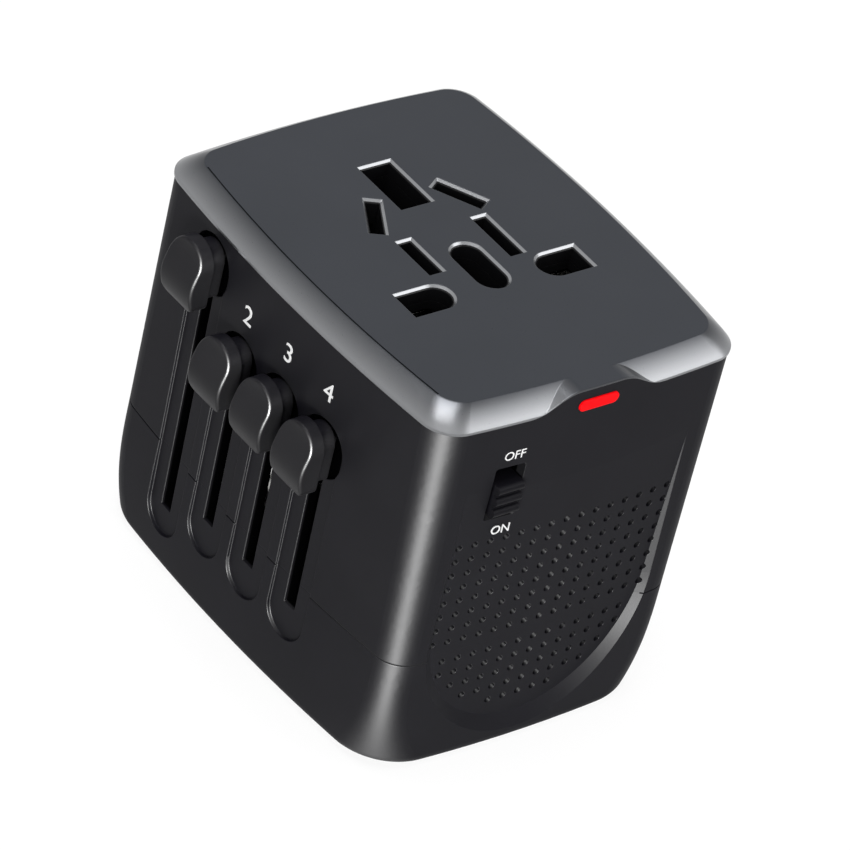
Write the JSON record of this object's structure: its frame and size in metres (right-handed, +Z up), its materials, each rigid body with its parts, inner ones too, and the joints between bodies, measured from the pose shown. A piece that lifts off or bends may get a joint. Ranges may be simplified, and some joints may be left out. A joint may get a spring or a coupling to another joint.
{
  "type": "travel voltage converter",
  "caption": "Boxy travel converter with a universal socket on top, sliding plug pins worked from one side, a mode switch, a lamp and a recessed vent field.",
  "frame": {"origin": "middle of the body on its flat underside, where the plug pins come out", "axes": "+Z up towards the socket, -Y towards the face with the switch and vents, -X towards the sliders, +Y along the longest side"},
  "size_m": [0.0568, 0.0647, 0.0586],
  "materials": {
    "cover_metal": "satin gunmetal",
    "housing_black": "satin black",
    "knob_black": "satin black",
    "lamp_red": "clear red",
    "inner_plastic": "moulded",
    "pin_brass": "nickel-plated brass",
    "board_green": "solder mask",
    "sink_aluminium": "extruded",
    "fuse_glass": "clear",
    "screw_steel": "zinc-plated"
  },
  "bodies": {
    "housing": {"top_cover": "cover_metal", "main_shell": "housing_black", "lower_shell": "housing_black", "socket_block": "inner_plastic", "live_contact": "pin_brass", "neutral_contact": "pin_brass", "lamp_window": "lamp_red", "indicator_led": "lamp_red", "mode_switch": "inner_plastic", "switch_terminals": "pin_brass", "live_busbar": "pin_brass", "neutral_busbar": "pin_brass", "guide_plate": "inner_plastic", "converter_board": "board_green", "triac": "inner_plastic", "heat_sink": "sink_aluminium", "choke": "inner_plastic", "capacitor": "inner_plastic", "fuse": "fuse_glass", "fuse_clips": "pin_brass", "case_screws": "screw_steel", "board_screws": "screw_steel"},
    "round_pin_slider": {"round_pin_knob": "knob_black", "round_pin_carrier": "inner_plastic", "round_pin_live": "pin_brass", "round_pin_neutral": "pin_brass"},
    "slant_pin_slider": {"slant_pin_knob": "knob_black", "slant_pin_carrier": "inner_plastic", "slant_pin_live": "pin_brass", "slant_pin_neutral": "pin_brass"},
    "flat_pin_slider": {"flat_pin_knob": "knob_black", "flat_pin_carrier": "inner_plastic", "flat_pin_live": "pin_brass", "flat_pin_neutral": "pin_brass"},
    "square_pin_slider": {"square_pin_knob": "knob_black", "square_pin_carrier": "inner_plastic", "square_pin_live": "pin_brass", "square_pin_neutral": "pin_brass", "square_pin_earth": "pin_brass", "square_pin_sleeves": "inner_plastic"},
    "mode_cap": {"mode_knob": "knob_black"}
  },
  "joints": [
    {"name": "round_pin_travel", "type": "slide", "parent": "housing", "child": "round_pin_slider", "axis": [0, 0, -1], "range_m": [0, 0.0361]},
    {"name": "slant_pin_travel", "type": "slide", "parent": "housing", "child": "slant_pin_slider", "axis": [0, 0, -1], "range_m": [0, 0.0233]},
    {"name": "flat_pin_travel", "type": "slide", "parent": "housing", "child": "flat_pin_slider", "axis": [0, 0, -1], "range_m": [0, 0.0233]},
    {"name": "square_pin_travel", "type": "slide", "parent": "housing", "child": "square_pin_slider", "axis": [0, 0, -1], "range_m": [0, 0.0233]},
    {"name": "mode_travel", "type": "slide", "parent": "housing", "child": "mode_cap", "axis": [0, 0, 1], "range_m": [0, 0.002]}
  ]
}
